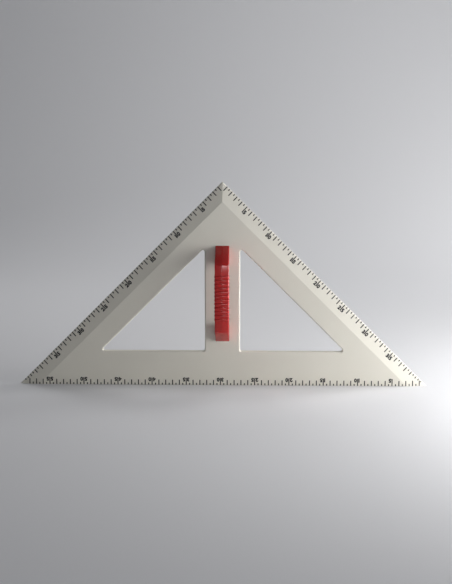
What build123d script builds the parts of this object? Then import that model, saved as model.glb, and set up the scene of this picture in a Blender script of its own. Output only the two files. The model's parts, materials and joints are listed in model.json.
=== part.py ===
from build123d import *
import math
import os

os.makedirs("parts", exist_ok=True)

# Blackboard set square: a bevelled triangular board that stands on its long edge, with a bow handle.
# X runs along the long edge, Y from the front of the board to its back, Z up.
# The origin is the middle of the long edge's resting face. All sizes are in millimetres.

# Board
leg_length = 420.0              # each short side, corner to corner
board_thickness = 7.0
leg_edge_thickness = 3.0        # what the bevels leave at the two leg edges
bevel_width = 20.0              # square to the leg edge
leg_band_width = 48.5           # leg edge to the slanted side of a window
strip_width = 51.0              # upright strip between the windows
rail_height = 51.0              # long edge to the lower side of a window
window_corner_radius = 2.5
window_front_rounding = 2.0
window_back_rounding = 0.6
long_edge_rounding = 1.0
leg_edge_rounding = 1.4         # between a bevel and its leg edge
back_edge_rounding = 0.6
bevel_overrun = 5.0             # how far the bevel cutter reaches past the board
near = 0.01                     # edges within this of a plane are taken to lie on it

# Handle
handle_length = 140.0           # foot to foot along the board
handle_bottom = 66.0            # long edge to the lower foot
handle_width = 20.0
handle_height = 35.0            # front of the board to the front of the grip
grip_depth = 13.0
foot_length = 25.0
screw_inset = 14.0              # each end of the handle to the screw in that foot
outer_slope_run = 21.3          # how far each end leans in over the full height
inner_slope_run = 8.0           # the same for the ends of the finger gap
shell_wall = 2.4
outer_bend_radius = 2.5
inner_bend_radius = 8.0
side_rounding = 1.8
seam_bevel = 0.25

# Grip ribs
rib_count = 12
rib_pitch = 5.6
rib_width = 3.6
rib_side_height = 0.7           # how far a rib stands off the handle's sides
rib_crown = 0.6                 # extra height in the middle of the front
rib_end_gap = 3.0               # from a rib's end to the underside of the grip

# Locating pegs of the two shells
post_radius = 3.0
peg_radius = 1.5
peg_length = 3.5
peg_spacing = 35.0              # along the grip
peg_clearance = 0.1             # round each peg in its socket
socket_extra = 0.5              # past the end of the peg
leg_peg_inset = 21.0            # each end of the handle to the peg in that leg
leg_peg_height = 18.0           # off the front of the board

# Fasteners: M4 countersunk screw and M4 hexagon nut
screw_radius = 2.0
screw_hole_clearance = 0.25
head_radius = 3.75
head_rim = 0.3                  # straight part of the head above its cone
head_sink = 0.2                 # head below the back of the board
seat_clearance = 0.02           # between the head's cone and its countersink
recess_width = 1.0              # cross recess
recess_length = 4.4
recess_depth = 1.4
tip_chamfer = 0.4
nut_across_flats = 7.0
nut_height = 3.2
nut_corner_chamfer = 0.5
nut_clearance = 0.1
thread_clearance = 0.03
thread_beyond_nut = 0.9
boss_floor = 5.0                # from the board to the nut
boss_roof = 3.0                 # over the nut
boss_side = 2.6                 # beside the nut

# Worked out from the sizes above
long_edge = leg_length * math.sqrt(2)
board_height = long_edge / 2
front_y = -board_thickness / 2
back_y = board_thickness / 2
window_sum = board_height - leg_band_width * math.sqrt(2)   # x + z along a window's slanted side
handle_top = handle_bottom + handle_length
handle_middle = handle_bottom + handle_length / 2
half_width = handle_width / 2
finger_height = handle_height - grip_depth
screw_heights = {"lower": handle_bottom + screw_inset, "upper": handle_top - screw_inset}
screw_hole_radius = screw_radius + screw_hole_clearance
countersink_radius = head_radius + head_rim + head_sink + seat_clearance
nut_pocket_height = nut_height + 2 * nut_clearance
boss_height = boss_floor + nut_pocket_height + boss_roof
boss_length = nut_across_flats / math.cos(math.radians(30)) + 2 * boss_side
nut_bottom = boss_floor + nut_clearance
screw_length = board_thickness - head_sink + nut_bottom + nut_height + thread_beyond_nut


def y_at(height):
    """Y of a point that stands this high off the front of the board."""
    return front_y - height


def back_plane(z):
    """Plane on the back of the board at a screw, facing away from the board."""
    return Plane(origin=(0, back_y, z), x_dir=(1, 0, 0), z_dir=(0, 1, 0))


def front_plane(z, height):
    """Plane across a screw's axis this high off the front of the board, facing away from it."""
    return Plane(origin=(0, y_at(height), z), x_dir=(1, 0, 0), z_dir=(0, -1, 0))


# ---- Board ----
with BuildPart() as board:
    # Sketched on the back face, and extruded towards the front
    with BuildSketch(Plane.XZ.offset(-back_y)):
        Polygon((-long_edge / 2, 0), (long_edge / 2, 0), (0, board_height), align=None)
    extrude(amount=board_thickness)

    # Bevels: a wedge cut along each leg, so that the two meet in a mitre under the top corner.
    bevel_drop = board_thickness - leg_edge_thickness
    for side in (-1, 1):
        leg_plane = Plane(
            origin=(side * long_edge / 4, front_y, board_height / 2), x_dir=(-side, 0, -1), z_dir=(1, 0, -side)
        )
        with BuildSketch(leg_plane):
            Polygon(
                (bevel_width, 0),
                (-bevel_overrun, bevel_drop * (1 + bevel_overrun / bevel_width)),
                (-bevel_overrun, -bevel_overrun),
                (bevel_width, -bevel_overrun),
                align=None,
            )
        extrude(amount=leg_length, both=True, mode=Mode.SUBTRACT)

    for side in (-1, 1):
        with BuildSketch(Plane.XZ.offset(-back_y)) as window:
            Polygon(
                (side * strip_width / 2, rail_height),
                (side * (window_sum - rail_height), rail_height),
                (side * strip_width / 2, window_sum - strip_width / 2),
                align=None,
            )
            fillet(window.vertices(), radius=window_corner_radius)
        extrude(amount=board_thickness, mode=Mode.SUBTRACT)

    # Rounded rims of the windows
    for rim_side, rounding in ((0, window_front_rounding), (-1, window_back_rounding)):
        face = board.faces().filter_by(Axis.Y).sort_by(Axis.Y)[rim_side]
        fillet(ShapeList(face.inner_wires()).edges(), radius=rounding)

    # Rounded outside: the front of the long edge, the front of both leg edges, then the back's outline
    fillet(board.edges().filter_by(Axis.X).group_by(Axis.Z)[0].sort_by(Axis.Y)[0], radius=long_edge_rounding)
    leg_front_y = back_y - leg_edge_thickness
    for side in (-1, 1):
        leg_edges = board.edges().filter_by(Axis((0, 0, 0), (1, 0, -side)))
        fillet(leg_edges.filter_by_position(Axis.Y, leg_front_y - near, leg_front_y + near), radius=leg_edge_rounding)
    back_face = board.faces().filter_by(Axis.Y).sort_by(Axis.Y)[-1]
    fillet(back_face.outer_wire().edges(), radius=back_edge_rounding)

    for z in screw_heights.values():
        with Locations(back_plane(z)):
            CounterSinkHole(screw_hole_radius, countersink_radius, counter_sink_angle=90)
board.part.label = "board"
export_step(board.part, "parts/board.step")


# ---- Handle ----
peg_places = [(y_at(finger_height + grip_depth / 2), handle_middle + step * peg_spacing) for step in (-1, 0, 1)]
peg_places += [(y_at(leg_peg_height), z) for z in (handle_bottom + leg_peg_inset, handle_top - leg_peg_inset)]

# One rib, modelled at z = 0: a crowned bar round the front and both sides of the grip.
rib_reach = half_width + rib_side_height
rib_shoulder_y = y_at(handle_height + rib_side_height)
rib_end_y = y_at(finger_height + rib_end_gap)
with BuildPart() as rib:
    with BuildSketch(Plane.XY.offset(-rib_width / 2)) as rib_section:
        with BuildLine():
            crown = ThreePointArc(
                (-rib_reach, rib_shoulder_y), (0, rib_shoulder_y - rib_crown), (rib_reach, rib_shoulder_y)
            )
            Polyline(crown @ 1, (rib_reach, rib_end_y), (-rib_reach, rib_end_y), crown @ 0)
        make_face()
        front_corners = rib_section.vertices().group_by(Axis.Y)[0]
        fillet(front_corners, radius=side_rounding + rib_side_height)
    extrude(amount=rib_width)
    # The rib's two faces are rounded away until its top is nearly a half round.
    fillet(rib.faces().filter_by(Axis.Z).edges(), radius=rib_side_height)

# Outline of the bow from the side, and the hollow inside it, both on the handle's middle plane.
bow_outer = (
    (y_at(0), handle_bottom),
    (y_at(handle_height), handle_bottom + outer_slope_run),
    (y_at(handle_height), handle_top - outer_slope_run),
    (y_at(0), handle_top),
)
bow_inner = (
    (y_at(0), handle_top - foot_length),
    (y_at(finger_height), handle_top - foot_length - inner_slope_run),
    (y_at(finger_height), handle_bottom + foot_length + inner_slope_run),
    (y_at(0), handle_bottom + foot_length),
)
with BuildPart() as half_bow:
    with BuildSketch(Plane.YZ) as bow:
        Polygon(*bow_outer, *bow_inner, align=None)
        fillet(bow.vertices().group_by(Axis.X)[0], radius=outer_bend_radius)
        inner_y = y_at(finger_height)
        fillet(bow.vertices().filter_by_position(Axis.X, inner_y - near, inner_y + near), radius=inner_bend_radius)
    extrude(amount=half_width)
    # Rounded along the outside, and a fine bevel along the seam; the soles stay square to the board.
    for reach, size, finish in ((-1, side_rounding, fillet), (0, seam_bevel, chamfer)):
        flank = half_bow.faces().filter_by(Axis.X).sort_by(Axis.X)[reach]
        soles = flank.edges().filter_by_position(Axis.Y, front_y - near, front_y + near)
        finish(flank.edges() - soles, size)

# The right half with its ribs, walls, nut boss and posts. The left half is its mirror image.
with BuildPart() as half_handle:
    add(half_bow.part)
    with Locations(*[(0, 0, handle_middle + (i - (rib_count - 1) / 2) * rib_pitch) for i in range(rib_count)]):
        add(rib.part)
    split(bisect_by=Plane.YZ, keep=Keep.TOP)

    with BuildSketch(Plane.YZ) as hollow:
        Polygon(*bow_outer, *bow_inner, align=None)
        offset(amount=-shell_wall, kind=Kind.INTERSECTION)
        for z in screw_heights.values():
            with Locations((y_at(boss_height / 2), z)):
                Rectangle(boss_height, boss_length, mode=Mode.SUBTRACT)
        with Locations(*peg_places):
            Circle(post_radius, mode=Mode.SUBTRACT)
    extrude(amount=half_width - shell_wall, mode=Mode.SUBTRACT)

    for z in screw_heights.values():
        with BuildSketch(front_plane(z, 0)):
            Circle(screw_hole_radius)
        extrude(amount=boss_height, mode=Mode.SUBTRACT)
        with BuildSketch(front_plane(z, boss_floor)):
            RegularPolygon(nut_across_flats / 2 + nut_clearance, 6, major_radius=False, rotation=30)
        extrude(amount=nut_pocket_height, mode=Mode.SUBTRACT)

with BuildPart() as handle_right_shell:
    add(half_handle.part)
    with BuildSketch(Plane.YZ):
        with Locations(*peg_places):
            Circle(peg_radius + peg_clearance)
    extrude(amount=peg_length + socket_extra, mode=Mode.SUBTRACT)
handle_right_shell.part.label = "handle_right_shell"
export_step(handle_right_shell.part, "parts/handle_right_shell.step")

with BuildPart() as handle_left_shell:
    add(half_handle.part.mirror(Plane.YZ))
    with BuildSketch(Plane.YZ):
        with Locations(*peg_places):
            Circle(peg_radius)
    extrude(amount=peg_length)
handle_left_shell.part.label = "handle_left_shell"
export_step(handle_left_shell.part, "parts/handle_left_shell.step")


# ---- Fasteners ----
head_y = back_y - head_sink
cone_end_y = head_y - head_rim - (head_radius - screw_radius)
tip_y = head_y - screw_length
for place, z in screw_heights.items():
    with BuildPart() as screw:
        with BuildSketch(Plane.YZ):
            Polygon(
                (head_y, z),
                (head_y, z + head_radius),
                (head_y - head_rim, z + head_radius),
                (cone_end_y, z + screw_radius),
                (tip_y + tip_chamfer, z + screw_radius),
                (tip_y, z + screw_radius - tip_chamfer),
                (tip_y, z),
                align=None,
            )
        revolve(axis=Axis((0, 0, z), (0, 1, 0)))
        with BuildSketch(back_plane(z).offset(-head_sink)):
            Rectangle(recess_length, recess_width)
            Rectangle(recess_width, recess_length)
        extrude(amount=-recess_depth, mode=Mode.SUBTRACT)
    screw.part.label = place + "_screw"
    export_step(screw.part, "parts/" + place + "_screw.step")

    with BuildPart() as nut:
        with BuildSketch(front_plane(z, nut_bottom)):
            Circle(nut_across_flats / 2 / math.cos(math.radians(30)))
        extrude(amount=nut_height)
        chamfer(nut.edges(), length=nut_corner_chamfer / 2, length2=nut_corner_chamfer)
        with BuildSketch(front_plane(z, nut_bottom)):
            RegularPolygon(nut_across_flats / 2, 6, major_radius=False, rotation=30)
        extrude(amount=nut_height, mode=Mode.INTERSECT)
        with BuildSketch(front_plane(z, nut_bottom)):
            Circle(screw_radius + thread_clearance)
        extrude(amount=nut_height, mode=Mode.SUBTRACT)
    nut.part.label = place + "_nut"
    export_step(nut.part, "parts/" + place + "_nut.step")
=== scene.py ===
# %% [markdown]
# # A teacher's set square, 60 cm along its long edge
#
# The object is a moulded plastic board with bevelled edges, printed scales and a red handle made of two
# shells, screwed on from behind. Its solids come from a CAD model, which this script loads as a fixed
# frame. The script then gives them their finishes, models the handle's two shells again with a draft
# and crowned ribs, prints the scales, and sets up a small studio around the object. Everything is in
# metres. X runs along the long edge, Y from the front of the board to its back, Z up.

# %% Load the frame
import bpy
import bmesh
import json
import math
from mathutils import Matrix, Vector

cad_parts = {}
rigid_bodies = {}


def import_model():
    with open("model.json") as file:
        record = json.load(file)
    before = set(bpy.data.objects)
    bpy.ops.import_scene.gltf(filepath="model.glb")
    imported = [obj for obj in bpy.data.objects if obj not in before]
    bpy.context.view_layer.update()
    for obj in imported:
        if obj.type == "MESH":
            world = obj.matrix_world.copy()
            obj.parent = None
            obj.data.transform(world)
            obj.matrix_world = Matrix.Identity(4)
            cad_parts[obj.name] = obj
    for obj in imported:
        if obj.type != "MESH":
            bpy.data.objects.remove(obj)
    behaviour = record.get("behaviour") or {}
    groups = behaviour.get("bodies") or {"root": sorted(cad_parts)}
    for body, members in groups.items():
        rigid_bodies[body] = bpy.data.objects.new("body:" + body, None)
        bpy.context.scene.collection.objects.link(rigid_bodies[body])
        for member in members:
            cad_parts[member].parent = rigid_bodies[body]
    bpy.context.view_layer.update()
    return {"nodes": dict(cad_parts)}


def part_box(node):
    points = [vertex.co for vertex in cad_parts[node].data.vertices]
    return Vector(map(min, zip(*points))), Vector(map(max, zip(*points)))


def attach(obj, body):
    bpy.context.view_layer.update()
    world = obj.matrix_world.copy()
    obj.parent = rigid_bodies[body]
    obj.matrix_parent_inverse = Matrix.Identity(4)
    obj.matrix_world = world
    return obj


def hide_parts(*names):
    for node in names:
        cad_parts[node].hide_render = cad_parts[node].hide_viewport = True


for leftover in list(bpy.data.objects):
    bpy.data.objects.remove(leftover)
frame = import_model()
print("CAD nodes:", sorted(frame["nodes"]))

# %% [markdown]
# ## Sizes
# The board's box gives the places that everything else is measured from. Both legs are mitred at 45
# degrees, so the board is as high as half its long edge, and a point lies on a leg's edge where |x| + z
# is that height.

# %% Sizes read from the frame
MM = 0.001
board_low, board_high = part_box("board")
FRONT = board_low.y
HEIGHT = board_high.z
HALF_EDGE = board_high.x
LEG = HEIGHT * math.sqrt(2)
print(f"long edge {2 * HALF_EDGE / MM:.1f} mm, leg {LEG / MM:.1f} mm, front face at y = {FRONT / MM:.1f} mm")

# %% [markdown]
# ## Camera
# A portrait-length lens stands back from the board, a little above it and a touch to its right. It is
# placed by an aim point, two angles and a distance, so that each number can be changed alone.

# %% Camera
camera_data = bpy.data.cameras.new("studio_camera")
camera_data.lens = 66.9
camera = bpy.data.objects.new("studio_camera", camera_data)
bpy.context.collection.objects.link(camera)
aim = Vector((5.2 * MM, FRONT, 138.9 * MM))
azimuth, elevation, distance = math.radians(1.33), math.radians(11.11), 1.5598
level = math.cos(elevation)
away = Vector((math.sin(azimuth) * level, -math.cos(azimuth) * level, math.sin(elevation)))
camera.location = aim + distance * away
camera.rotation_euler = away.to_track_quat("Z", "Y").to_euler()
bpy.context.scene.camera = camera
print("camera at", [round(value, 3) for value in camera.location])

# %% [markdown]
# ## Two helpers for finishes
# Colours are written as the hex codes that a screen shows. Shaders count in linear light, so one
# function turns a code into linear values. A second function adds a node, sets it and links it, so a
# material reads as a short list.

# %% Colour and node helpers
def srgb(code):
    """Linear RGBA for an sRGB hex code."""
    values = [int(code[start:start + 2], 16) / 255 for start in (1, 3, 5)]
    return [v / 12.92 if v <= 0.04045 else ((v + 0.055) / 1.055) ** 2.4 for v in values] + [1.0]


def add_node(material, kind, settings=None, values=None, links=None):
    """Add one node to the material, set its options and socket values, and link its inputs."""
    made = material.node_tree.nodes.new(kind)
    for option, value in (settings or {}).items():
        setattr(made, option, value)
    for socket, value in (values or {}).items():
        made.inputs[socket].default_value = value
    for socket, source in (links or {}).items():
        material.node_tree.links.new(source, made.inputs[socket])
    return made


def new_material(name):
    """An empty node material, with the Object coordinates that its patterns are laid out in."""
    material = bpy.data.materials.new(name)
    material.use_nodes = True
    material.node_tree.nodes.clear()
    place = add_node(material, "ShaderNodeTexCoord").outputs["Object"]
    return material, place


def finish_material(material, values, links):
    """Close the material with its surface shader and output."""
    shader = add_node(material, "ShaderNodeBsdfPrincipled", values=values, links=links)
    add_node(material, "ShaderNodeOutputMaterial", links={"Surface": shader.outputs["BSDF"]})
    print("material", material.name, "has", len(material.node_tree.nodes), "nodes")


def give(material, *node_names):
    """Put the material on CAD nodes in place of the plain one that they arrive with."""
    for name in node_names:
        for material_slot in frame["nodes"][name].material_slots:
            material_slot.material = material

# %% [markdown]
# ## The board's finish: moulded styrene
# The board is an off-white, opaque styrene plastic. Its mould was lightly spark-eroded, which leaves a
# fine, even grain and a satin sheen. Two noises give the grain and a faint drift of tone, as the
# pigment never mixes perfectly, and the same grain roughens the reflection a little.

# %% Moulded off-white styrene
GRAIN = 0.9 * MM        # real grain is about 0.1 mm; drawn coarser so that it shows
TONE_DRIFT = 90 * MM

board_styrene, place = new_material("moulded_off_white_styrene")
grain = add_node(
    board_styrene, "ShaderNodeTexNoise",
    values={"Scale": 1 / GRAIN, "Detail": 3.0},
    links={"Vector": place},
)
drift = add_node(
    board_styrene, "ShaderNodeTexNoise",
    values={"Scale": 1 / TONE_DRIFT, "Detail": 2.0},
    links={"Vector": place},
)
tone = add_node(
    board_styrene, "ShaderNodeMix", {"data_type": "RGBA"},
    {6: srgb("#DCD8CC"), 7: srgb("#E3DFD3")},
    {0: drift.outputs["Fac"]},
)
sheen = add_node(
    board_styrene, "ShaderNodeMapRange",
    values={"To Min": 0.36, "To Max": 0.48},
    links={"Value": grain.outputs["Fac"]},
)
relief = add_node(
    board_styrene, "ShaderNodeBump",
    values={"Strength": 0.12, "Distance": 0.05 * MM},
    links={"Height": grain.outputs["Fac"]},
)
finish_material(
    board_styrene,
    {"IOR": 1.55},
    {"Base Color": tone.outputs[2], "Roughness": sheen.outputs["Result"], "Normal": relief.outputs["Normal"]},
)
give(board_styrene, "board")

# %% [markdown]
# ## The handle's finish: glossy ABS
# The shells are moulded in red ABS against a polished mould, so they are glossy, with only the slight
# waviness that cooling leaves. A coarse, shallow bump gives that.

# %% Glossy red ABS
WAVINESS = 4 * MM
handle_abs, place = new_material("glossy_red_abs")
waves = add_node(
    handle_abs, "ShaderNodeTexNoise",
    values={"Scale": 1 / WAVINESS, "Detail": 1.0},
    links={"Vector": place},
)
tone = add_node(
    handle_abs, "ShaderNodeMix", {"data_type": "RGBA"},
    {6: srgb("#B41A16"), 7: srgb("#C01E1A")},
    {0: waves.outputs["Fac"]},
)
relief = add_node(
    handle_abs, "ShaderNodeBump",
    values={"Strength": 0.10, "Distance": 0.05 * MM},
    links={"Height": waves.outputs["Fac"]},
)
finish_material(
    handle_abs,
    {"IOR": 1.54, "Roughness": 0.22},
    {"Base Color": tone.outputs[2], "Normal": relief.outputs["Normal"]},
)

# %% [markdown]
# ## Helpers for modelling
# An operator acts on all that is selected, so one helper selects whole pieces, and two more clear a
# mesh and pick its edges by the place of their ends. Another copies a piece with a mesh of its own and
# moves the copy.

# %% Helpers that select and copy
def only(*pieces):
    """Deselect everything, then select these pieces and make the last one active."""
    bpy.ops.object.select_all(action="DESELECT")
    for piece in pieces:
        piece.select_set(True)
    bpy.context.view_layer.objects.active = pieces[-1]


def placed_copy(piece, placing):
    """A copy of the piece with its own mesh, moved by the matrix."""
    copy = bpy.data.objects.new(piece.name + "_copy", piece.data.copy())
    copy.data.transform(placing)
    bpy.context.collection.objects.link(copy)
    return copy


def deselect(shape):
    """Deselect every vertex, edge and face of a mesh in edit mode."""
    for item in [*shape.verts, *shape.edges, *shape.faces]:
        item.select = False


def select_edges(piece, test):
    """Select the edges of the piece, in edit mode, whose two ends both pass the test."""
    shape = bmesh.from_edit_mesh(piece.data)
    deselect(shape)
    for edge in shape.edges:
        edge.select = all(test(vertex.co) for vertex in edge.verts)
    shape.select_flush_mode()
    bmesh.update_edit_mesh(piece.data)

# %% [markdown]
# ## The handle's shells
# The bow handle is two mirror-image mouldings of red ABS that meet in a seam down its middle. Each
# leans away from the seam a little, so that it leaves its mould. It could be carved from a block, but
# drawing it out of its lower foot gives long clean faces, whose bends and edges are bevelled
# afterwards.

# %% Sizes of the handle
shell_low, shell_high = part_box("handle_right_shell")
BOW_BOTTOM, BOW_TOP = shell_low.z, shell_high.z
BOW_LENGTH = BOW_TOP - BOW_BOTTOM
BOW_MIDDLE = (BOW_BOTTOM + BOW_TOP) / 2
HALF_WIDTH = 10 * MM
GRIP_HEIGHT, FINGER_HEIGHT = 35 * MM, 22 * MM
CREST, UNDERSIDE = FRONT - GRIP_HEIGHT, FRONT - FINGER_HEIGHT
FOOT_LENGTH = 25 * MM
OUTER_LEAN, INNER_LEAN = 21.3 * MM, 8 * MM
DRAFT_ANGLE = math.radians(3.0)
DRAFT = HALF_WIDTH * math.tan(DRAFT_ANGLE)       # how far the side lies behind the seam
GRIP_FACE = CREST + 2 * DRAFT       # the shell's outside along the grip stands out further than this
OUTER_BEND, INNER_BEND = 2.2 * MM, 5.6 * MM      # radii of 3.9 and 8 mm at these angles
SIDE_ROUNDING, SEAM_BEVEL = 1.0 * MM, 0.3 * MM
SMOOTH_ANGLE = math.radians(35)     # faces that turn by less than this are shaded as one
NEAR = 0.01 * MM

# %% [markdown]
# The sole of the lower foot is a plane on the board. It is drawn out three times: up the lower leg,
# along the grip and down the upper leg. The outside and the finger side lean by different amounts, so
# after each extrusion the finger side's edge is moved on to its own place.

# %% Draw the shell out of its lower foot
def draw_out(piece, step, finger_step, finger_is_higher):
    """Extrude the selected end by step, then move the edge on its finger side by what it still lacks."""
    bpy.ops.mesh.extrude_region_move(TRANSFORM_OT_translate={"value": step})
    shape = bmesh.from_edit_mesh(piece.data)
    end = [vertex for vertex in shape.verts if vertex.select]
    middle = sum(vertex.co.z for vertex in end) / len(end)
    finger_side = [vertex for vertex in end if (vertex.co.z > middle) == finger_is_higher]
    deselect(shape)
    for vertex in finger_side:
        vertex.select_set(True)
    shape.select_flush_mode()
    bmesh.update_edit_mesh(piece.data)
    bpy.ops.transform.translate(value=Vector(finger_step) - Vector(step))
    for vertex in end:
        vertex.select_set(True)
    shape.select_flush(True)
    bmesh.update_edit_mesh(piece.data)


bpy.ops.object.select_all(action="DESELECT")
bpy.ops.mesh.primitive_plane_add(size=1)
right_shell = bpy.context.active_object
right_shell.name = "handle_shell_right"
right_shell.scale = (HALF_WIDTH, FOOT_LENGTH, 1)
right_shell.rotation_euler = (math.radians(90), 0, 0)
right_shell.location = (HALF_WIDTH / 2, FRONT, BOW_BOTTOM + FOOT_LENGTH / 2)
bpy.ops.object.transform_apply(location=True, rotation=True, scale=True)
FINGER_LENGTH = BOW_LENGTH - 2 * (FOOT_LENGTH + INNER_LEAN)
bpy.ops.object.mode_set(mode="EDIT")
bpy.ops.mesh.select_mode(type="VERT")
bpy.ops.mesh.select_all(action="SELECT")
draw_out(right_shell, (0, -GRIP_HEIGHT, OUTER_LEAN), (0, -FINGER_HEIGHT, INNER_LEAN), True)
draw_out(right_shell, (0, 0, BOW_LENGTH - 2 * OUTER_LEAN), (0, 0, FINGER_LENGTH), True)
draw_out(right_shell, (0, GRIP_HEIGHT, OUTER_LEAN), (0, FINGER_HEIGHT, INNER_LEAN), False)

# %% [markdown]
# The side of the outside is pushed in for the draft. The two outer bends stay tight and the two under
# the fingers are wide. Then the long edges are rounded, and a small bevel at the seam leaves its
# groove.

# %% Lean, bend and round the shell
def at_side(point):
    """True on the side of the shell, which is the face away from the seam."""
    return point.x > HALF_WIDTH - NEAR


bpy.ops.mesh.select_mode(type="EDGE")
select_edges(right_shell, lambda p: at_side(p) and abs(p.y - CREST) < NEAR)
bpy.ops.transform.translate(value=(0, DRAFT, 0))
for outer_bend in (BOW_BOTTOM + OUTER_LEAN, BOW_TOP - OUTER_LEAN):
    select_edges(right_shell, lambda p: p.y < GRIP_FACE and abs(p.z - outer_bend) < NEAR)
    bpy.ops.mesh.bevel(offset=OUTER_BEND, segments=3)
for finger_bend in (BOW_MIDDLE - FINGER_LENGTH / 2, BOW_MIDDLE + FINGER_LENGTH / 2):
    select_edges(right_shell, lambda p: abs(p.y - UNDERSIDE) < NEAR and abs(p.z - finger_bend) < NEAR)
    bpy.ops.mesh.bevel(offset=INNER_BEND, segments=8)


def select_long_edges(piece, x, outside):
    """Select the chain of edges along the shell at x, on its outside or on its finger side."""
    shape = bmesh.from_edit_mesh(piece.data)
    deselect(shape)
    for edge in shape.edges:
        middle = (edge.verts[0].co + edge.verts[1].co) / 2
        at_x = all(abs(vertex.co.x - x) < NEAR for vertex in edge.verts)
        on_board = all(vertex.co.y > FRONT - NEAR for vertex in edge.verts)
        mates = [face for face in edge.link_faces if abs(face.normal.x) < 0.7]
        if at_x and not on_board and len(mates) == 1:
            outward = mates[0].normal.y < -0.3 or middle.y < GRIP_FACE
            away = mates[0].normal.z * (middle.z - BOW_MIDDLE) > 0
            edge.select = (outward or away) == outside
    shape.select_flush_mode()
    bmesh.update_edit_mesh(piece.data)
    return sum(edge.select for edge in shape.edges)


bpy.ops.mesh.select_all(action="SELECT")
bpy.ops.mesh.normals_make_consistent(inside=False)
for x, outside, rounding, segments in (
    (HALF_WIDTH, True, SIDE_ROUNDING, 6),
    (HALF_WIDTH, False, SIDE_ROUNDING, 5),
    (0.0, True, SEAM_BEVEL, 1),
):
    print("long edges:", select_long_edges(right_shell, x, outside))
    bpy.ops.mesh.bevel(offset=rounding, segments=segments)
bpy.ops.object.mode_set(mode="OBJECT")

# %% [markdown]
# A rib is a slice of a fat disc, so that it is crowned across the grip. It is bisected at the seam, at
# the side and at its back, its corner is rounded where it turns down the side, and its rims are
# bevelled round. Every bevel is kept narrower than the face or bend beside it: a wider one folds over
# itself, and then rib and shell can't be united cleanly.

# %% Model one rib
RIB_COUNT, RIB_PITCH, RIB_HALF_WIDTH = 12, 5.6 * MM, 1.8 * MM
RIB_HEIGHT, RIB_SIDE, RIB_CROWN = 1.25 * MM, 0.65 * MM, 60 * MM
RIB_BACK = CREST + 10 * MM
RIB_CORNER, RIB_RIM = 2.4 * MM, 1.2 * MM      # the corner is wider than the rim, or the rim folds over
RIB_START = 0.3 * MM        # the seam's groove runs on between the two halves of a rib
bpy.ops.object.select_all(action="DESELECT")
bpy.ops.mesh.primitive_cylinder_add(
    vertices=96, radius=RIB_CROWN, depth=2 * RIB_HALF_WIDTH,
    location=(0, CREST - RIB_HEIGHT + RIB_CROWN, 0),
)
rib = bpy.context.active_object
bpy.ops.object.transform_apply(location=True, rotation=True, scale=True)
bpy.ops.object.mode_set(mode="EDIT")
for cut_at, facing in (
    ((RIB_START, 0, 0), (-1, 0, 0)),
    ((HALF_WIDTH + RIB_SIDE, 0, 0), (1, 0, 0)),
    ((0, RIB_BACK, 0), (0, 1, 0)),
):
    bpy.ops.mesh.select_all(action="SELECT")
    bpy.ops.mesh.bisect(plane_co=cut_at, plane_no=facing, clear_outer=True, use_fill=True)
bpy.ops.mesh.select_mode(type="EDGE")
select_edges(rib, lambda p: p.x > HALF_WIDTH + RIB_SIDE - NEAR and p.y < RIB_BACK - NEAR)
bpy.ops.mesh.bevel(offset=RIB_CORNER, segments=8)
for rim in (-RIB_HALF_WIDTH, RIB_HALF_WIDTH):
    select_edges(rib, lambda p: abs(p.z - rim) < NEAR)
    shape = bmesh.from_edit_mesh(rib.data)
    for edge in shape.edges:
        at_seam = all(vertex.co.x < RIB_START + NEAR for vertex in edge.verts)
        at_back = all(vertex.co.y > RIB_BACK - NEAR for vertex in edge.verts)
        if at_seam or at_back:
            edge.select = False
    shape.select_flush_mode()
    bmesh.update_edit_mesh(rib.data)
    bpy.ops.mesh.bevel(offset=RIB_RIM, segments=6)
bpy.ops.object.mode_set(mode="OBJECT")
print("one rib:", len(rib.data.vertices), "vertices")

# %% [markdown]
# The rib is copied up the grip, about the middle of the bow, and the copies are joined into one row.

# %% Copy the rib into a row
rib_row = [
    placed_copy(rib, Matrix.Translation((0, 0, BOW_MIDDLE + (number - (RIB_COUNT - 1) / 2) * RIB_PITCH)))
    for number in range(RIB_COUNT)
]
bpy.data.objects.remove(rib)
only(*rib_row)
bpy.ops.object.join()
ribs = bpy.context.active_object
print("ribs:", len(ribs.data.vertices), "vertices")

# %% [markdown]
# A Boolean modifier unites the row with the shell. The count of open edges shows whether the result is
# a closed skin.

# %% Unite the row with the shell
only(right_shell)
union = right_shell.modifiers.new("ribs", "BOOLEAN")
union.operation = "UNION"
union.solver = "MANIFOLD"
union.object = ribs
bpy.ops.object.modifier_apply(modifier=union.name)
bpy.data.objects.remove(ribs)
bpy.ops.object.mode_set(mode="EDIT")
bpy.ops.mesh.select_all(action="SELECT")
bpy.ops.mesh.remove_doubles(threshold=0.001 * MM)
bpy.ops.mesh.normals_make_consistent(inside=False)
bpy.ops.object.mode_set(mode="OBJECT")
bpy.ops.object.shade_smooth_by_angle(angle=SMOOTH_ANGLE)
united = bmesh.new()
united.from_mesh(right_shell.data)
open_edges = sum(not edge.is_manifold for edge in united.edges)
print("right shell:", len(united.verts), "vertices,", open_edges, "open edges")
print("right shell's volume:", round(united.calc_volume() / MM ** 3), "mm3")
united.free()

# %% [markdown]
# The left shell is the right one mirrored. Mirroring turns the faces inside out, so the normals are
# made consistent again.

# %% Mirror the left shell
left_shell = placed_copy(right_shell, Matrix.Diagonal((-1, 1, 1, 1)))
left_shell.name = "handle_shell_left"
only(left_shell)
bpy.ops.object.mode_set(mode="EDIT")
bpy.ops.mesh.select_all(action="SELECT")
bpy.ops.mesh.normals_make_consistent(inside=False)
bpy.ops.object.mode_set(mode="OBJECT")
for shell, node_name in ((right_shell, "handle_right_shell"), (left_shell, "handle_left_shell")):
    shell.data.name = shell.name
    shell.data.materials.clear()
    shell.data.materials.append(handle_abs)
    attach(shell, "root")
    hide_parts(node_name)

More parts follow.
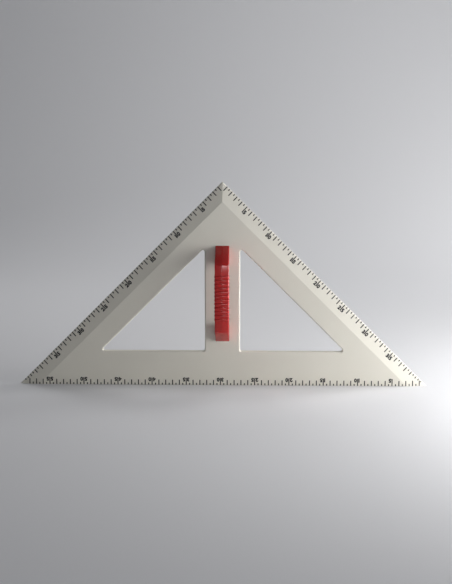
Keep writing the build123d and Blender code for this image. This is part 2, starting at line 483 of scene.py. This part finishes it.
# %% [markdown]
# ## Screws and nuts: zinc-plated steel
# Zinc plating is a soft grey metal with a faint mottle, because the crystals of the plating lie at all
# angles.

# %% Zinc-plated steel
CRYSTAL = 0.8 * MM
zinc, place = new_material("zinc_plated_steel_finish")
mottle = add_node(zinc, "ShaderNodeTexVoronoi", values={"Scale": 1 / CRYSTAL}, links={"Vector": place})
tone = add_node(
    zinc, "ShaderNodeMix", {"data_type": "RGBA"},
    {6: srgb("#B9BCBF"), 7: srgb("#CFD2D4")},
    {0: mottle.outputs["Distance"]},
)
dulling = add_node(
    zinc, "ShaderNodeMapRange",
    values={"To Min": 0.26, "To Max": 0.40},
    links={"Value": mottle.outputs["Distance"]},
)
finish_material(
    zinc,
    {"Metallic": 1.0},
    {"Base Color": tone.outputs[2], "Roughness": dulling.outputs["Result"]},
)
give(zinc, "lower_screw", "upper_screw", "lower_nut", "upper_nut")

# %% [markdown]
# ## Printed scales
# Each edge has a centimetre scale, screen-printed in black. A tick stands at every half centimetre, a
# longer one at every centimetre, and the longest at every five, where the tick runs between the two
# digits of its number. The scales could be painted in a material, but as thin pieces of their own they
# stay crisp at any distance and come out in the exported meshes. Each mark is modelled flat, copied
# along its edge, and then laid on the board.

# %% Sizes of the print
CENTIMETRE = 10 * MM
TICK_WIDTH = 1.5 * MM
TICK_START = 0.2 * MM           # clear edge before the ticks
TICK_CORNER = 0.2 * TICK_WIDTH
TICK_PARTS = 14                 # a tick is cut across into this many parts
TICK_LENGTHS = {"half": 3.0 * MM, "one": 7.8 * MM, "five": 10.8 * MM}
CORNER_SHARE = 0.2              # near an acute corner, a tick's length for each unit left to the corner
DIGIT_HEIGHT = 6.1 * MM
DIGIT_WIDTH = 4.5 * MM
DIGIT_FOOT = 11.4 * MM          # edge to the foot of the digits; their tops face the edge
DIGIT_GAP = 1.1 * MM            # tick's middle line to a digit
BOLDNESS = 0.065                # added to each side of a stroke, in text of size 1
INK_THICKNESS = 0.05 * MM

# %% [markdown]
# A tick is a plane with its four corners rounded, as ink flows a little at the ends of a printed line.
# It is cut across in several places, so that it can bend where it crosses from the flat face to a
# bevel.

# %% One tick of each length
def make_tick(kind):
    """A flat tick that hangs down from the edge, with the edge along local X."""
    length = TICK_LENGTHS[kind]
    bpy.ops.mesh.primitive_plane_add(size=1, location=(0, -TICK_START - length / 2, 0))
    tick = bpy.context.active_object
    tick.name = "tick_" + kind
    tick.scale = (TICK_WIDTH, length, 1)
    bpy.ops.object.transform_apply(location=True, rotation=True, scale=True)
    bpy.ops.object.mode_set(mode="EDIT")
    bpy.ops.mesh.select_all(action="SELECT")
    bpy.ops.mesh.bevel(offset=TICK_CORNER, segments=3, affect="VERTICES")
    for cut in range(1, TICK_PARTS):
        bpy.ops.mesh.select_all(action="SELECT")
        bpy.ops.mesh.bisect(plane_co=(0, -TICK_START - length * cut / TICK_PARTS, 0), plane_no=(0, 1, 0))
    bpy.ops.object.mode_set(mode="OBJECT")
    return tick


ticks = {kind: make_tick(kind) for kind in TICK_LENGTHS}
print("ticks:", {kind: len(tick.data.vertices) for kind, tick in ticks.items()}, "vertices")

# %% [markdown]
# The digits start as text, thickened by the curve's own offset to a bold face, and become meshes before
# anything is placed. Each is then stretched to the height and width of the print, with its foot on the
# local X axis.

# %% One digit of each kind
def make_digit(character):
    """One digit as a flat mesh of the print's size, with its lower left corner at the origin."""
    bpy.ops.object.text_add(location=(0, 0, 0))
    text = bpy.context.active_object
    text.data.body = character
    text.data.offset = BOLDNESS
    bpy.ops.object.convert(target="MESH")
    digit = bpy.context.active_object
    digit.name = "digit_" + character
    low = Vector(min(v.co[axis] for v in digit.data.vertices) for axis in range(3))
    high = Vector(max(v.co[axis] for v in digit.data.vertices) for axis in range(3))
    tall = DIGIT_HEIGHT / (high.y - low.y)
    wide = min(tall, DIGIT_WIDTH / (high.x - low.x))
    digit.data.transform(Matrix.Diagonal((wide, tall, 1, 1)) @ Matrix.Translation(-low))
    digit["width"] = wide * (high.x - low.x)
    return digit


digits = {character: make_digit(character) for character in "012345"}
digit_widths = {character: round(digit["width"] / MM, 2) for character, digit in digits.items()}
print("digit widths in mm:", digit_widths)

# %% [markdown]
# One function prints a whole scale. It is told where zero is, which way the numbers read, which way is
# up for them, whether the scale grows with or against the reading direction, how far it goes, and how
# long the edge is, since the ticks shorten towards an acute corner. The flat print is held in front of
# the board, then a Shrinkwrap modifier presses it straight back onto the faces, and a Solidify modifier
# gives the ink its thickness.

# %% Print a scale
def print_scale(name, zero, reading, up, growth, last, last_label, end):
    """Marks from 1 cm to last and numbers to last_label, both in centimetres; end is a length in metres."""
    to_board = Matrix((reading, up, reading.cross(up))).transposed().to_4x4()
    to_board.translation = zero
    marks = []
    for count in range(2, 2 * last + 1):
        along = growth * count * CENTIMETRE / 2
        kind = "half" if count % 2 else "five" if count % 10 == 0 and count <= 2 * last_label else "one"
        room = CORNER_SHARE * (end - count * CENTIMETRE / 2)
        shrink = Matrix.Diagonal((1, min(1, room / TICK_LENGTHS[kind]), 1, 1))
        marks.append(placed_copy(ticks[kind], to_board @ Matrix.Translation((along, 0, 0)) @ shrink))
        if kind == "five":
            label = str(count // 2)
            if len(label) == 2:
                tens = digits[label[0]]
                shift = Matrix.Translation((along - DIGIT_GAP - tens["width"], -DIGIT_FOOT, 0))
                marks.append(placed_copy(tens, to_board @ shift))
            shift = Matrix.Translation((along + DIGIT_GAP, -DIGIT_FOOT, 0))
            marks.append(placed_copy(digits[label[-1]], to_board @ shift))
    only(*marks)
    bpy.ops.object.join()
    scale = bpy.context.active_object
    scale.name = name
    scale.data.name = name
    lay = scale.modifiers.new("lay_on_board", "SHRINKWRAP")
    lay.target = frame["nodes"]["board"]
    lay.wrap_method = "PROJECT"
    lay.use_project_y = True
    lay.use_positive_direction = True
    ink = scale.modifiers.new("ink_film", "SOLIDIFY")
    ink.thickness = INK_THICKNESS
    ink.offset = 1
    for modifier in (lay.name, ink.name):
        bpy.ops.object.modifier_apply(modifier=modifier)
    print(name, "has", len(marks), "marks and", len(scale.data.polygons), "faces")
    return scale


IN_FRONT = FRONT - 5 * MM
WHOLE_TICKS = 3 * CENTIMETRE        # added to an edge's length, it leaves the last ticks whole
diagonal = math.sqrt(0.5)
scales = [
    print_scale(
        "left_leg_scale", Vector((0, IN_FRONT, HEIGHT)),
        Vector((diagonal, 0, diagonal)), Vector((-diagonal, 0, diagonal)),
        growth=-1, last=41, last_label=35, end=LEG,
    ),
    print_scale(
        "right_leg_scale", Vector((0, IN_FRONT, HEIGHT)),
        Vector((diagonal, 0, -diagonal)), Vector((diagonal, 0, diagonal)),
        growth=1, last=41, last_label=35, end=LEG,
    ),
    print_scale(
        "long_edge_scale", Vector((HALF_EDGE, IN_FRONT, 0)), Vector((-1, 0, 0)), Vector((0, 0, -1)),
        growth=1, last=58, last_label=55, end=2 * HALF_EDGE + WHOLE_TICKS,
    ),
]
for pattern in [*ticks.values(), *digits.values()]:
    bpy.data.objects.remove(pattern)

# %% [markdown]
# ## The ink
# Screen ink on plastic is matt black. It lies a little thinner in places, which shows as a faint grey
# mottle.

# %% Screen-printing ink
INK_MOTTLE = 1.2 * MM
print_ink, place = new_material("screen_printed_black_ink")
cover = add_node(
    print_ink, "ShaderNodeTexNoise",
    values={"Scale": 1 / INK_MOTTLE, "Detail": 3.0},
    links={"Vector": place},
)
tone = add_node(
    print_ink, "ShaderNodeMix", {"data_type": "RGBA"},
    {6: srgb("#040405"), 7: srgb("#0C0C0E")},
    {0: cover.outputs["Fac"]},
)
finish_material(print_ink, {"Roughness": 0.55}, {"Base Color": tone.outputs[2]})
for scale in scales:
    scale.data.materials.append(print_ink)
    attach(scale, "root")

# %% [markdown]
# ## Backdrop
# The set square stands on a sheet of pale paper that curves up behind it. The sheet starts as a plane,
# its back edge is extruded upwards, and the fold is rounded with a very wide bevel, so no line shows
# between floor and wall and the paper stays low enough behind the board for a view from the back.

# %% Paper sweep
SWEEP_WIDTH, SWEEP_FRONT, SWEEP_BACK, SWEEP_HEIGHT, SWEEP_RADIUS = 12.0, -6.0, 3.1, 3.5, 2.2
bpy.ops.mesh.primitive_plane_add(size=1, location=(0, (SWEEP_FRONT + SWEEP_BACK) / 2, 0))
sweep = bpy.context.active_object
sweep.name = "paper_sweep"
sweep.scale = (SWEEP_WIDTH, SWEEP_BACK - SWEEP_FRONT, 1)
bpy.ops.object.transform_apply(location=True, rotation=True, scale=True)

bpy.ops.object.mode_set(mode="EDIT")
bpy.ops.mesh.select_mode(type="EDGE")
select_edges(sweep, lambda p: p.y > SWEEP_BACK - MM)
bpy.ops.mesh.extrude_region_move(TRANSFORM_OT_translate={"value": (0, 0, SWEEP_HEIGHT)})
select_edges(sweep, lambda p: p.y > SWEEP_BACK - MM and p.z < MM)
bpy.ops.mesh.bevel(offset=SWEEP_RADIUS, segments=64)
bpy.ops.object.mode_set(mode="OBJECT")
bpy.ops.object.shade_smooth()
print("paper sweep:", len(sweep.data.vertices), "vertices")

# %% [markdown]
# ## The backdrop's finish: pale paper
# The paper is matt and nearly white. Its fibres take up the light a little unevenly.

# %% Pale backdrop paper
FIBRE = 2 * MM
paper, place = new_material("pale_backdrop_paper")
fibres = add_node(
    paper, "ShaderNodeTexNoise",
    values={"Scale": 1 / FIBRE, "Detail": 2.0},
    links={"Vector": place},
)
tone = add_node(
    paper, "ShaderNodeMix", {"data_type": "RGBA"},
    {6: srgb("#E6E6E8"), 7: srgb("#EAEAEC")},
    {0: fibres.outputs["Fac"]},
)
finish_material(paper, {"Roughness": 0.9}, {"Base Color": tone.outputs[2]})
sweep.data.materials.append(paper)

# %% [markdown]
# ## Light
# Three softboxes stand close on the right, beside the board and in front of it, so the light falls off
# from right to left and rakes across the bevels. One more and a panel overhead light the paper behind,
# and a weak one fills in the back of the board. Two small lamps near the camera are hidden from matt
# shading and add only gloss: they make the glints on the ribs, and a little sheen on the board.

# %% Lights
SMALL_BOX, LARGE_BOX, PANEL, LAMP = 0.45, 0.8, 1.2, 0.06        # lengths of their sides
SURROUND_STRENGTH = 0.15


def softbox(name, place, aim_at, side, watts, only_glints=False):
    """A square light aimed at a point; with only_glints it adds to the gloss alone."""
    data = bpy.data.lights.new(name, "AREA")
    data.shape = "RECTANGLE"
    data.size, data.size_y, data.energy = side, side, watts
    light = bpy.data.objects.new(name, data)
    bpy.context.collection.objects.link(light)
    light.visible_diffuse = not only_glints
    light.location = place
    light.rotation_euler = (Vector(place) - Vector(aim_at)).to_track_quat("Z", "Y").to_euler()
    return light


BOARD_MIDDLE = (0, 0, 0.15)
softbox("raking_softbox", (0.75, -0.1, 0.15), BOARD_MIDDLE, SMALL_BOX, 6.6)
softbox("key_softbox", (0.75, -0.35, 0.15), BOARD_MIDDLE, SMALL_BOX, 2.3)
softbox("side_softbox", (0.75, -0.7, 0.15), BOARD_MIDDLE, SMALL_BOX, 0.7)
softbox("backdrop_softbox", (1.6, 0.6, 0.6), (0.8, 1.6, 0.4), LARGE_BOX, 20.8)
softbox("overhead_panel", (0.8, 0.9, 2.2), (0.4, 1.4, 0.2), PANEL, 9.9)
softbox("back_fill", (-0.5, 0.8, 0.9), BOARD_MIDDLE, SMALL_BOX, 1.2)
softbox("near_lamp", (0.09, -1.5, 0.35), BOARD_MIDDLE, LAMP, 3.0, only_glints=True)
softbox("second_lamp", (0.24, -1.48, 0.35), BOARD_MIDDLE, LAMP, 1.4, only_glints=True)
world = bpy.data.worlds.new("studio_surround")
bpy.context.scene.world = world
world.use_nodes = True
world.node_tree.nodes["Background"].inputs["Color"].default_value = srgb("#E9ECF2")
world.node_tree.nodes["Background"].inputs["Strength"].default_value = SURROUND_STRENGTH
bpy.context.scene.view_settings.view_transform = "Standard"
lights = [item for item in bpy.data.objects if item.type == "LIGHT"]
print("lights:", {light.name: round(light.data.energy, 1) for light in lights}, "watts")
